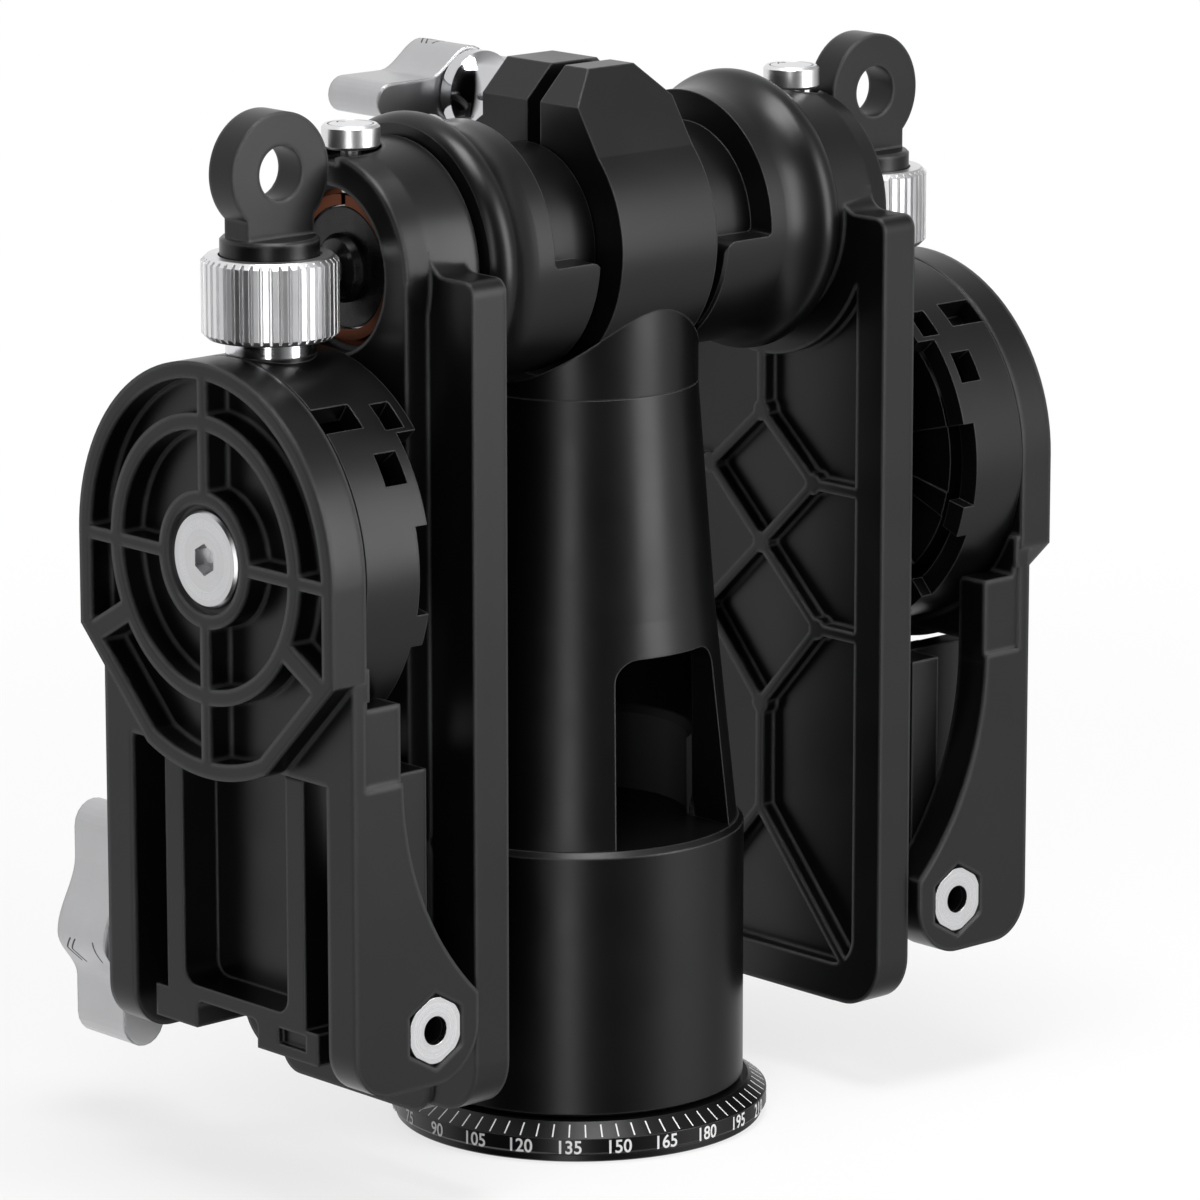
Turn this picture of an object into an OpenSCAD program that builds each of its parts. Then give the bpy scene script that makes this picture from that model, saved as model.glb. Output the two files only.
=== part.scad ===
// Stowed twin-arm gimbal head. Z is the pan axis, X is the shoulder axis, -Y is the front.
// The origin is the centre of the base's underside. Lengths are in millimetres.

/* [Base and dial] */
// Radius of the degree dial
dial_r = 35; // [34:0.5:38]
// Height of the numbered band
dial_band_h = 4.6; // [4:0.2:6]
// Height of the ticked bevel above the band
dial_bevel_h = 2.3; // [1.8:0.1:3]
// Radius of the turning housing
housing_r = 30.6; // [30:0.2:32]
// Height of the housing's wall
housing_h = 48.5; // [46:0.5:54]
// Radius of the tripod thread's bore
tripod_bore_r = 4; // [3:0.1:5]

/* [Column] */
// Radius at the head of the column
column_top_r = 22; // [21:0.1:22.8]
// Wall of the hollow column at its window
column_wall = 5; // [4.4:0.1:6]
// Half width of the window at its foot
window_foot_w = 14; // [12:0.5:14.5]
// Half width of the window at its head
window_head_w = 12; // [10:0.5:13]
// Height of the window
window_h = 34.3; // [28:0.5:36]

/* [Shoulder] */
// Height of the shoulder axis
shoulder_z = 165.5; // [162:0.5:172]
// Radius of the cross shaft
shaft_r = 11; // [9:0.5:12]
// Radius of the clamp barrel
tee_r = 24.8; // [24.3:0.1:26]
// Width of the clamp barrel
tee_w = 23; // [21:0.5:25]
// Height of the clamp block above the shoulder axis
block_rise = 31.3; // [30:0.1:33]
// Radius of the core that fills a sleeve
core_r = 17.8; // [16:0.2:19]
// Distance of the seam between sleeve and arm from the pan axis
seam_x = 42.4; // [42:0.1:43]

/* [Arm] */
// Thickness of the arm's flange plate
flange_t = 7.7; // [7:0.1:8.4]
// Half width of the flange plate
flange_half_w = 32.6; // [31.5:0.1:33]
// Thickness of the arm's outer web
web_t = 5; // [4.4:0.1:5.6]
// Depth of the pockets on the inner face
pocket_d = 2.8; // [2:0.1:3.5]
// Distance from the shoulder axis down to the tilt axis
tilt_drop = 47.9; // [46:0.5:50]

/* [Tilt drum and bracket] */
// Radius of the tilt drum
drum_r = 35; // [34:0.2:36]
// Width of the tilt drum
drum_w = 15.2; // [14.6:0.2:17]
// Wall of the tilt drum
drum_wall = 4; // [3:0.2:5]
// Thickness of the bracket's disc
disc_t = 7.5; // [7:0.1:8.5]
// Radius of the disc's lower edge
disc_low_r = 39.2; // [38:0.2:41]
// Depth of the pockets in the disc's face
disc_pocket_d = 5; // [4:0.2:5.4]
// Distance from the tilt axis down to the hinge axis
hinge_drop = 82.4; // [80:0.5:86]
// Thickness of each leg
leg_t = 7.5; // [6.5:0.1:8]
// Radius of the ear round the hinge pin
ear_r = 10; // [9.2:0.1:10.5]

/* [Platform and controls] */
// Half width of the platform's spine
spine_half_w = 19.2; // [17.5:0.1:21]
// Radius of the platform's threaded hole
camera_bore_r = 4; // [2.6:0.1:5]
// Radius of the knurled drag knob
knob_r = 12.1; // [11:0.1:12.5]
// Height of the knurled drag knob
knob_h = 14.6; // [12:0.2:16]
// Outer radius of the thumb ring
ring_r = 10.8; // [9.5:0.1:11]
// Radius of the hole in the thumb ring
ring_hole_r = 4.8; // [4:0.1:5.5]
// Length of each wing of a locking lever
wing_l = 24; // [20:0.5:26]
// Radius of a locking lever's hub
lever_hub_r = 9; // [8.4:0.1:9.6]
// Thickness of a locking lever
lever_t = 14; // [12:0.5:15]

/* [Hidden] */
$fn = 72;

// Overrun of every cut past the face it opens
cut = 0.4;
// Clearance of a running fit, on the radius
run_fit = 0.06;
// Gap between faces that turn past each other
face_gap = 0.3;
// Bevel on small turned edges
edge_c = 0.5;

// Base
insert_r = 8;
insert_h = 9;
lip_h = 1.5;
lip_step = 0.9;
dial_top_step = 1;
dial_top_r = housing_r + dial_top_step;
dial_ring_w = 5.6;
spigot_r = dial_top_r - dial_ring_w;
plate_top = dial_band_h + dial_bevel_h;
housing_gap = 0.5;
housing_z = plate_top + housing_gap;
housing_top = housing_z + housing_h;
rim_c = 1;
deck_z = housing_top + rim_c;
base_screw_r = 1.6;
base_screw_head_r = 2.9;
base_screw_head_h = 1.8;
base_screw_grip = 3;
base_screw_turns = [60, 180, 300];
spindle_r = 9;
spindle_flange_r = 16;
spindle_flange_h = 5.1;
base_screw_ring = (insert_r + spindle_flange_r) / 2 + edge_c;
spindle_thread_r = 6;
spindle_thread_l = 8;
bearing_z = plate_top + spindle_flange_h + face_gap;
bearing_r = 17;
bearing_h = 14;
nut_r = 9.6;
nut_h = 5;
nut_z = bearing_z + bearing_h + face_gap;
housing_wall = 5;
housing_roof = 6;
housing_in_r = housing_r - housing_wall;
roof_z = housing_top - housing_roof;

// Column
foot_step = 0.3;
column_foot_r = housing_r - rim_c - foot_step;
column_waist_share = 0.42;
neck_l = 27;
seam_z = shoulder_z - neck_l;
column_l = seam_z - deck_z;
window_corner_r = 4.5;
column_screw_r = 2;
column_screw_head_r = 3.2;
column_screw_head_h = 3;
column_screw_grip = 8;
column_screw_ring = housing_in_r - column_screw_head_r - run_fit;
bore_foot_r = column_screw_ring - column_screw_r - face_gap;
bore_step = 1.3;
bore_r = bore_foot_r + bore_step;
bore_step_z = deck_z + window_h * 0.43;
bore_top_z = deck_z + window_h + column_wall;
bolt_rod_r = 5;
bolt_head_r = 8.5;
bolt_head_h = 5;
bolt_grip = 7;

// Clamp head
tee_half = tee_w / 2;
block_c = 6;
block_foot_y = -tee_r * 0.735;
block_foot_rise = sqrt(tee_r * tee_r - block_foot_y * block_foot_y);
block_top_y = -9;
block_back_y = 12.8;
slit_w = 3.6;
slit_y = -1;
lever_rise = 22.6;
lever_z = shoulder_z + lever_rise;
lever_screw_r = 3;
clamp_screw_y = block_foot_y * 0.62;
tee_collar_l = 16.4;
collar_r = 7.8;
collar_neck_r = 5.3;
collar_rim_share = 0.2;

// Locking levers
tee_hub_set = 0.6;
tee_wing_set = 1.8;
tee_wing_half_t = 3.3;
tee_blend_share = 0.44;
hinge_wing_set = 3.3;
hinge_wing_half_t = 4.6;
hinge_long_blend_share = 0.58;
hinge_short_blend_share = 0.44;
// Each wing, first the one along -X: its length, its half thickness and the share that is blend
tee_wing = [wing_l - tee_wing_set, tee_wing_half_t, tee_blend_share];
hinge_wings = [
    [wing_l, hinge_wing_half_t, hinge_long_blend_share],
    [wing_l - hinge_wing_set, hinge_wing_half_t, hinge_short_blend_share]
];
wing_steps = 16;
lever_face_r = 6.2;
lever_face_d = 1;
lever_web = 2;
hinge_collar_l = 13;

// Shoulder
sleeve_step = 1.4;
sleeve_r = tee_r - sleeve_step;
core_x = tee_half + face_gap;
sleeve_set = 3.7;
sleeve_x = tee_half + sleeve_set;
notch_w = 11.2;
notch_x = sleeve_x + notch_w;
ledge_turn = 2;
notch_in_r = 1;
notch_out_r = 2.4;
bulge_h = 2.6;
bulge_r = sleeve_r + bulge_h;
// The crown of the bulge, and the hollow that runs it out into the sleeve
crown_r = 4.2;
crown_set = 3.4;
runout_r = 12;

// Arm
arm_step = 3.7;
arm_x = seam_x + arm_step;
flange_x = arm_x + flange_t;
web_x = flange_x + web_t;
boss_x = seam_x + face_gap;
boss_step = 1.2;
boss_r = sleeve_r - boss_step;
boss_mid_step = 0.7;
boss_mid_r = boss_r - boss_mid_step;
boss_end_step = 1.6;
boss_end_r = boss_r - boss_end_step;
tilt_z = shoulder_z - tilt_drop;
hinge_z = tilt_z - hinge_drop;
arm_tail = 19;
arm_low = hinge_z - arm_tail;
arm_corner_r = 9.5;
arm_head = 1.1;
arm_top = shoulder_z + arm_head;
arm_top_r = 2.6;
arm_blend_r = 4;
web_gap = 26;
web_low = hinge_z + web_gap;
web_corner_r = 6;
foot_drop = 2;
foot_t = 0.8;
foot_in = 3;
foot_corner_r = 5;
rim_w = 7.2;
rib_w = 2;
bush_wall = 3;
bush_r = shaft_r + bush_wall;
bush_lip = 2;
bush_lip_t = 1.2;
end_recess_wall = 4;
end_recess_r = shaft_r + end_recess_wall;
end_recess_d = 4.6;
shaft_end = web_x - end_recess_d;
button_r = 6.2;
button_h = 3.2;
button_hex_r = 2.9;
button_hex_d = 2;
end_screw_r = 4;
end_screw_l = 12;
washer_t = 1;
button_x = shaft_end + washer_t;

// Index plunger
cap_set = 7.5;
cap_x = arm_x + cap_set;
cap_r = 5.2;
cap_h = 4.2;
cap_proud = 3.9;
cap_z = shoulder_z + boss_mid_r - cap_h + cap_proud;
cap_travel = 2;
cap_ring_in_share = 0.74;
cap_ring_out_share = 0.8;
plunger_r = 1.8;
plunger_z = shoulder_z + shaft_r + cap_travel + face_gap;

// Drum
drum_set = 6.3;
drum_x = web_x + drum_set;
drum_end = drum_x + drum_w;
drum_floor = 3;
drum_core_gap = 3;
drum_core_r = drum_r - drum_wall - drum_core_gap;
spigot_drum_r = 16;
drum_crown_reach = 3.6;
drum_crown_x = drum_x - drum_crown_reach;
drum_crown_turn = 42;
rim_set = 0.7;
tab_d = 2.6;
tab_turn = 36;
tab_share = 0.28;
tab_from = 14;
axle_r = 7;
axle_bore_gap = 0.3;
tilt_bearing_wall = 4;
tilt_bearing_r = axle_r + tilt_bearing_wall;
tilt_bearing_t = 6;
// Each window: its two edges as shares of the drum's width, then its two turns up from the front
window_shares = [[0.46, 1, 45.5, 54.5], [-0.1, 0.17, 43.5, 53], [0.184, 0.507, 26.6, 36.6]];

// Bracket
disc_x = drum_end + face_gap;
bracket_x = disc_x + disc_t;
leg_side_set = 0.45;
bracket_half_w = drum_r - leg_side_set;
disc_corner_drop = 17;
disc_rim_w = 3;
disc_ring_out = 25.9;
disc_ring_in = 23;
disc_hub_r = 12.3;
bolt_seat_r = 9.8;
bolt_r = 8.7;
bolt_low = 0.25;
bolt_hex_r = 2.9;
bolt_hex_d = 3.4;
bolt_seat_d = 1.2;
bolt_bore_l = 10;
spoke_w = 2.3;
stay_w = 4;
stay_turn = 30;
leg_inset = 4.9;
leg_face_x = bracket_x - leg_inset;
leg_w = 11.1;
leg_x = leg_face_x - leg_w;
leg_step = 0.7;
leg_drop = 22.3;
leg_top = tilt_z - leg_drop;
leg_rise = 44.4;
leg_low_top = hinge_z + leg_rise;
leg_ramp = 1.6;
ear_gap = 1.2;
hinge_x = flange_x + ear_gap + ear_r;
ear_curve_r = 57;
ear_corner_r = 8;
gate_t = 3.6;
gate_rise = 7.5;
gate_lift = 2.6;
gate_low = tilt_z - disc_low_r + gate_lift;
drum_gap = 0.6;
leg_in_y = bracket_half_w - leg_t;
nut_pocket_r = 6.9;
nut_pocket_d = 1.6;
hinge_pin_r = 4;
stud_r = 2.6;
lever_stud_r = 2.2;
stud_d = 7;
hinge_nut_r = 6;
hinge_nut_hex_r = 6.6;
hinge_nut_t = 1.5;

// Platform
platform_step = 1.2;
platform_face_x = leg_face_x - platform_step;
platform_gap = 1.4;
platform_in_x = web_x + platform_gap;
platform_half_w = leg_in_y - face_gap;
platform_tail = 5.9;
platform_low = hinge_z - platform_tail;
platform_top = gate_low - drum_gap;
bar_drop = 0.8;
bar_top = hinge_z - bar_drop;
bar_step = 3.4;
bar_half_w = spine_half_w + bar_step;
notch_front = 6;
notch_back = 11;
notch_corner_r = 1.6;
trough_rail_w = 4.8;
trough_half_w = spine_half_w - trough_rail_w;
trough_d = 7.8;
trough_rise = 1.9;
trough_corner_r = 3;
side_plate_t = 6.8;
camera_bore_d = 9;
camera_bore_rise = 24;
camera_bore_z = hinge_z + camera_bore_rise;
knuckle_recess_d = 1.2;

// Drag knob
knob_share = 0.47;
knob_x = drum_x + drum_w * knob_share;
knob_collar_r = 8;
knob_collar_h = 2.7;
knob_z = tilt_z + drum_r + knob_collar_h;
knurl_count = 44;
knurl_d = 0.7;
knob_c = 1;
// Around one pitch of the knurl: where each corner stands, and whether it stands out
knurl_shares = [[0, 1], [0.56, 1], [0.66, 0], [0.9, 0]];
drag_screw_r = 3;
ring_seat_d = 1.2;
ring_t = 6.5;
ring_rise = 14.5;
ring_z = knob_z + knob_h + ring_rise;
ring_neck_half_w = 7.4;
ring_foot_h = 3.2;
ring_foot_r = 8.8;

// A cylinder along X that starts at x
module x_rod(x, z, r, h) {
    translate([x, 0, z]) rotate([0, 90, 0]) cylinder(r = r, h = h);
}

// A cylinder along Y that starts at y
module y_rod(x, y, z, r, h) {
    translate([x, y, z]) rotate([-90, 0, 0]) cylinder(r = r, h = h);
}

// An outline in the YZ plane, drawn out along X from x
module yz_plate(x, h) {
    translate([x, 0, 0]) rotate([90, 0, 90]) linear_extrude(h) children();
}

// An outline in the XZ plane, drawn out along Y from y
module xz_plate(y, h) {
    translate([0, y + h, 0]) rotate([90, 0, 0]) linear_extrude(h) children();
}

// A piece turned round an axis along X; the outline holds radius and distance
module x_turned(z) {
    translate([0, 0, z]) rotate([0, 90, 0]) rotate_extrude() children();
}

// A six-sided socket that opens at x, away from the pan axis
module x_socket(x, z, r, d) {
    translate([x - d, 0, z]) rotate([0, 90, 0]) cylinder(r = r, h = d + cut, $fn = 6);
}

// A rectangle with round corners
module round_rect(x0, y0, x1, y1, r) {
    translate([x0 + r, y0]) square([x1 - x0 - 2 * r, y1 - y0]);
    translate([x0, y0 + r]) square([x1 - x0, y1 - y0 - 2 * r]);
    for (x = [x0 + r, x1 - r]) {
        for (y = [y0 + r, y1 - r]) {
            translate([x, y]) circle(r);
        }
    }
}

// A straight bar between two points of an outline
module bar(a, b, w) {
    run = b - a;
    translate(a) rotate(atan2(run[1], run[0])) translate([0, -w / 2]) square([norm(run), w]);
}

// A turned disc with bevelled edges
module beveled(r, h, c) {
    rotate_extrude() polygon([[0, 0], [r - c, 0], [r, c], [r, h - c], [r - c, h], [0, h]]);
}

// Points of an arc
function arc(x, y, r, from, to, steps) = [for (i = [0:steps])
    let (turn = from + (to - from) * i / steps) [x + r * cos(turn), y + r * sin(turn)]];

// Base, dial and pan bearing
module base_screw_places() {
    for (turn = base_screw_turns) {
        rotate(turn) translate([base_screw_ring, 0, 0]) children();
    }
}

module base_plate() {
    color([0.12, 0.12, 0.13]) difference() {
        union() {
            beveled(dial_r - lip_step, lip_h, edge_c / 2);
            cylinder(r = spigot_r, h = plate_top);
        }
        translate([0, 0, -cut]) cylinder(r = insert_r, h = plate_top + 2 * cut);
        base_screw_places() {
            translate([0, 0, -cut]) cylinder(r = base_screw_r, h = plate_top + 2 * cut);
            translate([0, 0, -cut]) cylinder(r = base_screw_head_r, h = base_screw_head_h + cut);
        }
    }
}

module degree_ring() {
    color([0.1, 0.1, 0.11]) rotate_extrude() polygon([
        [spigot_r, lip_h], [dial_r - edge_c, lip_h], [dial_r, lip_h + edge_c],
        [dial_r, dial_band_h], [dial_top_r, plate_top], [spigot_r, plate_top]
    ]);
}

module thread_insert() {
    color([0.75, 0.75, 0.76]) difference() {
        beveled(insert_r, insert_h, edge_c);
        translate([0, 0, -cut]) cylinder(r = tripod_bore_r, h = insert_h + 2 * cut);
    }
}

module base_screws() {
    color([0.7, 0.7, 0.71]) base_screw_places() difference() {
        union() {
            translate([0, 0, edge_c]) cylinder(r = base_screw_head_r, h = base_screw_head_h - edge_c);
            translate([0, 0, edge_c]) cylinder(r = base_screw_r, h = plate_top + base_screw_grip - edge_c);
        }
        cylinder(r = base_screw_r, h = 2 * edge_c, $fn = 6);
    }
}

module pan_spindle() {
    color([0.72, 0.72, 0.73]) difference() {
        union() {
            translate([0, 0, plate_top]) cylinder(r = spindle_flange_r, h = spindle_flange_h);
            translate([0, 0, plate_top]) cylinder(r = spindle_r, h = nut_z - plate_top);
            translate([0, 0, nut_z]) cylinder(r = spindle_thread_r, h = spindle_thread_l);
        }
        translate([0, 0, plate_top - cut]) cylinder(r = insert_r, h = insert_h - plate_top + cut);
        base_screw_places() cylinder(r = base_screw_r, h = plate_top + base_screw_grip);
    }
}

module pan_bearing() {
    color([0.7, 0.7, 0.72]) translate([0, 0, bearing_z]) difference() {
        cylinder(r = bearing_r, h = bearing_h);
        translate([0, 0, -cut]) cylinder(r = spindle_r + run_fit, h = bearing_h + 2 * cut);
    }
}

module spindle_nut() {
    color([0.7, 0.7, 0.72]) translate([0, 0, nut_z]) difference() {
        cylinder(r = nut_r, h = nut_h, $fn = 6);
        translate([0, 0, -cut]) cylinder(r = spindle_thread_r, h = nut_h + 2 * cut);
    }
}

module housing() {
    mouth_r = spindle_flange_r + 2 * face_gap;
    color([0.13, 0.13, 0.14]) difference() {
        rotate_extrude() polygon([
            [mouth_r, housing_z], [housing_r - edge_c, housing_z],
            [housing_r, housing_z + edge_c], [housing_r, housing_top],
            [housing_r - rim_c, deck_z], [0, deck_z], [0, roof_z], [housing_in_r, roof_z],
            [housing_in_r, bearing_z + bearing_h], [bearing_r, bearing_z + bearing_h],
            [bearing_r, bearing_z], [mouth_r, bearing_z]
        ]);
        column_screw_places() translate([0, 0, roof_z - cut]) {
            cylinder(r = column_screw_r, h = deck_z - roof_z + 2 * cut);
        }
    }
}

// Column
module column_screw_places() {
    for (turn = [45:90:315]) {
        rotate(turn) translate([column_screw_ring, 0, 0]) children();
    }
}

module window_outline() {
    head_z = deck_z + window_h - window_corner_r;
    arc_x = window_head_w - window_corner_r;
    polygon(concat(
        [[-window_foot_w, deck_z - cut], [window_foot_w, deck_z - cut]],
        arc(arc_x, head_z, window_corner_r, 0, 90, 6),
        arc(-arc_x, head_z, window_corner_r, 90, 180, 6)
    ));
}

module column() {
    waist_z = deck_z + column_l / 2;
    waist_r = column_top_r + (column_foot_r - column_top_r) * column_waist_share;
    color([0.14, 0.14, 0.15]) difference() {
        rotate_extrude() polygon([
            [0, deck_z], [column_foot_r, deck_z], [waist_r, waist_z], [column_top_r, seam_z],
            [0, seam_z]
        ]);
        rotate_extrude() polygon([
            [0, deck_z - cut], [bore_foot_r, deck_z - cut], [bore_foot_r, bore_step_z],
            [bore_r, bore_step_z + bore_step], [bore_r, bore_top_z - bore_step],
            [bore_foot_r, bore_top_z], [0, bore_top_z]
        ]);
        translate([0, 0, bore_top_z - cut]) cylinder(r = bolt_rod_r, h = seam_z - bore_top_z + 2 * cut);
        column_screw_places() translate([0, 0, deck_z - cut]) {
            cylinder(r = column_screw_r, h = column_screw_grip + cut);
        }
        xz_plate(-column_foot_r - cut, column_foot_r + cut) window_outline();
    }
}

module column_screws() {
    head_z = roof_z - column_screw_head_h;
    color([0.65, 0.65, 0.66]) column_screw_places() translate([0, 0, head_z]) difference() {
        union() {
            cylinder(r = column_screw_head_r, h = column_screw_head_h);
            cylinder(r = column_screw_r, h = deck_z + column_screw_grip - head_z);
        }
        translate([0, 0, -cut]) cylinder(r = column_screw_r, h = column_screw_head_h / 2 + cut, $fn = 6);
    }
}

module column_bolt() {
    head_z = bore_top_z - bolt_head_h;
    color([0.68, 0.68, 0.7]) translate([0, 0, head_z]) difference() {
        union() {
            cylinder(r = bolt_head_r, h = bolt_head_h);
            cylinder(r = bolt_rod_r, h = seam_z + bolt_grip - head_z);
        }
        translate([0, 0, -cut]) cylinder(r = bolt_rod_r * 0.8, h = bolt_head_h / 2 + cut, $fn = 6);
    }
}

// Clamp head
module block_front() {
    polygon([
        [-tee_half, shoulder_z], [tee_half, shoulder_z],
        [tee_half, shoulder_z + block_rise - block_c],
        [tee_half - block_c, shoulder_z + block_rise],
        [block_c - tee_half, shoulder_z + block_rise],
        [-tee_half, shoulder_z + block_rise - block_c]
    ]);
}

module block_side() {
    polygon([
        [block_foot_y, shoulder_z], [block_foot_y, shoulder_z + block_foot_rise],
        [block_top_y, shoulder_z + block_rise], [block_back_y, shoulder_z + block_rise],
        [block_back_y, shoulder_z]
    ]);
}

module tee_head() {
    color([0.12, 0.12, 0.13]) difference() {
        union() {
            x_rod(-tee_half, shoulder_z, tee_r, tee_w);
            translate([0, 0, seam_z]) cylinder(r = column_top_r, h = neck_l);
            intersection() {
                xz_plate(block_foot_y, block_back_y - block_foot_y) block_front();
                yz_plate(-tee_half, tee_w) block_side();
            }
        }
        for (side = [0, 1]) {
            mirror([side, 0, 0]) x_rod(tee_half, shoulder_z, tee_r, column_top_r);
        }
        x_rod(-tee_half - cut, shoulder_z, shaft_r + run_fit, tee_w + 2 * cut);
        translate([-tee_half - cut, slit_y - slit_w / 2, shoulder_z]) {
            cube([tee_w + 2 * cut, slit_w, block_rise + cut]);
        }
        y_rod(0, clamp_screw_y, lever_z, lever_screw_r + run_fit, block_back_y - clamp_screw_y + cut);
        y_rod(0, block_back_y, lever_z, collar_r + face_gap, tee_collar_l);
        translate([0, 0, seam_z - cut]) cylinder(r = bolt_rod_r, h = bolt_grip + cut);
    }
}

// Waisted collar between a face and its lever, hollowed all round up to its rim
module lever_collar(l, bore) {
    half = l * (1 - collar_rim_share) / 2;
    waist = collar_r - collar_neck_r;
    cove_r = (half * half + waist * waist) / (2 * waist);
    color([0.78, 0.78, 0.8]) rotate([-90, 0, 0]) difference() {
        rotate_extrude() difference() {
            polygon([
                [0, 0], [collar_r, 0], [collar_r, l - edge_c], [collar_r - edge_c, l], [0, l]
            ]);
            translate([collar_neck_r + cove_r, half]) circle(cove_r);
        }
        translate([0, 0, -cut]) cylinder(r = bore + run_fit, h = l + 2 * cut);
    }
}

module tee_collar() {
    translate([0, block_back_y, lever_z]) lever_collar(tee_collar_l, lever_screw_r);
}

// Half thickness of a lever at a distance along one of its wings
function wing_w(s, hub_r, wing) = let (t = min(1, abs(s) / (wing[0] * wing[2])))
    wing[1] + (hub_r - wing[1]) * (1 + cos(180 * t)) / 2;

// Two-winged lever with its wings along -X and +X and its axis along Y
module wing_lever(bore, hub_r, wings) {
    ends = [for (wing = wings) wing[0] - wing[1]];
    steps = [1 - wing_steps:wing_steps - 1];
    edge = [for (i = steps) let (k = i < 0 ? 0 : 1, s = ends[k] * i / wing_steps)
        [s, wing_w(s, hub_r, wings[k])]];
    last = len(edge) - 1;
    color([0.72, 0.72, 0.73]) difference() {
        xz_plate(0, lever_t) polygon(concat(
            arc(-ends[0], 0, wings[0][1], 270, 90, 10),
            edge,
            arc(ends[1], 0, wings[1][1], 90, -90, 10),
            [for (i = [0:last]) [edge[last - i][0], -edge[last - i][1]]]
        ));
        y_rod(0, -cut, 0, bore, lever_t - lever_face_d - lever_web + cut);
        y_rod(0, lever_t - lever_face_d, 0, lever_face_r, lever_face_d + cut);
    }
}

module tee_lever() {
    translate([0, block_back_y + tee_collar_l + face_gap, lever_z]) {
        wing_lever(lever_screw_r, lever_hub_r - tee_hub_set, [tee_wing, tee_wing]);
    }
}

module tee_screw() {
    l = block_back_y + tee_collar_l + lever_t / 2 - clamp_screw_y;
    color([0.7, 0.7, 0.72]) y_rod(0, clamp_screw_y, lever_z, lever_screw_r, l);
}

module cross_shaft() {
    color([0.74, 0.74, 0.75]) difference() {
        x_rod(-shaft_end, shoulder_z, shaft_r, 2 * shaft_end);
        for (side = [0, 1]) {
            mirror([side, 0, 0]) x_rod(shaft_end - end_screw_l, shoulder_z, end_screw_r, end_screw_l + cut);
        }
    }
}

// Outline of the sleeve with its bulge, in radius and distance
module sleeve_outline() {
    crown = [bulge_r - crown_r, seam_x - crown_set];
    rise = sleeve_r + runout_r - crown[0];
    reach = crown_r + runout_r;
    low = [sleeve_r + runout_r, crown[1] - sqrt(reach * reach - rise * rise)];
    polygon([
        [0, sleeve_x], [sleeve_r - edge_c, sleeve_x], [sleeve_r, sleeve_x + edge_c],
        [sleeve_r, seam_x], [0, seam_x]
    ]);
    intersection() {
        translate(crown) circle(crown_r);
        translate([0, sleeve_x]) square([bulge_r, seam_x - sleeve_x]);
    }
    difference() {
        polygon([[core_r, low[1]], low, crown, [core_r, crown[1]]]);
        translate(low) circle(runout_r);
    }
}

// Side view of what is cut from the sleeve's upper half, with its corners rounded
module notch_outline() {
    difference() {
        union() {
            round_rect(-notch_w, 0, notch_w, tee_r + notch_w, notch_in_r);
            translate([-cut, -notch_out_r]) square([notch_out_r + cut, notch_out_r + notch_in_r]);
        }
        translate([notch_out_r, -notch_out_r]) circle(notch_out_r);
    }
}

// Shoulder hub
module hub() {
    color([0.13, 0.13, 0.14]) difference() {
        union() {
            x_rod(core_x, shoulder_z, core_r, seam_x - core_x - edge_c);
            difference() {
                x_turned(shoulder_z) sleeve_outline();
                translate([sleeve_x, 0, shoulder_z]) rotate([ledge_turn, 0, 0]) {
                    xz_plate(-tee_r - cut, 2 * tee_r + 2 * cut) notch_outline();
                }
            }
        }
        x_rod(core_x - cut, shoulder_z, shaft_r, seam_x - core_x + 2 * cut);
    }
}

// Arm
module flange_outline() {
    blend_rise = arm_head + arm_blend_r;
    blend_reach = boss_mid_r + arm_blend_r;
    blend_y = sqrt(blend_reach * blend_reach - blend_rise * blend_rise);
    round_rect(-flange_half_w, arm_low, flange_half_w, arm_low + 3 * arm_corner_r, arm_corner_r);
    round_rect(-flange_half_w, arm_top - 3 * arm_top_r, flange_half_w, arm_top, arm_top_r);
    translate([-flange_half_w, arm_low + arm_corner_r]) {
        square([2 * flange_half_w, arm_top - arm_low - arm_corner_r - arm_top_r]);
    }
    difference() {
        translate([-blend_y, shoulder_z]) square([2 * blend_y, blend_rise]);
        for (side = [-1, 1]) {
            translate([side * blend_y, shoulder_z + blend_rise]) circle(arm_blend_r);
        }
    }
}

// Crossings of the lattice: height as a share of the arm below the tilt axis, then half width
knot_shares = [[-0.088, 0], [0.031, 0.55], [0.161, 0], [0.302, 0.6], [0.468, 0]];
foot_knot_shares = [[0.666, 0], [0.922, 0.9]];

module lattice() {
    half = flange_half_w - rim_w;
    drop = tilt_z - arm_low;
    knots = [for (k = knot_shares) [half * k[1], tilt_z - drop * k[0]]];
    feet = [for (k = foot_knot_shares) [half * k[1], tilt_z - drop * k[0]]];
    for (side = [0, 1]) {
        mirror([side, 0]) {
            for (i = [0:3]) {
                bar(knots[i], knots[i + 1], rib_w);
            }
            for (i = [1, 3]) {
                bar(knots[i], [half, knots[i][1]], rib_w);
            }
            bar(feet[0], feet[1], rib_w);
            for (knot = knots) {
                translate(knot) circle(rib_w);
            }
        }
    }
    bar([0, shoulder_z], knots[0], rib_w);
    bar(knots[4], feet[0], rib_w);
}

module arm_pockets() {
    half = flange_half_w - rim_w;
    difference() {
        round_rect(-half, arm_low + rim_w, half, shoulder_z, arm_corner_r - rim_w / 2);
        lattice();
        translate([0, shoulder_z]) circle(bulge_r + rib_w);
    }
}

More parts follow.
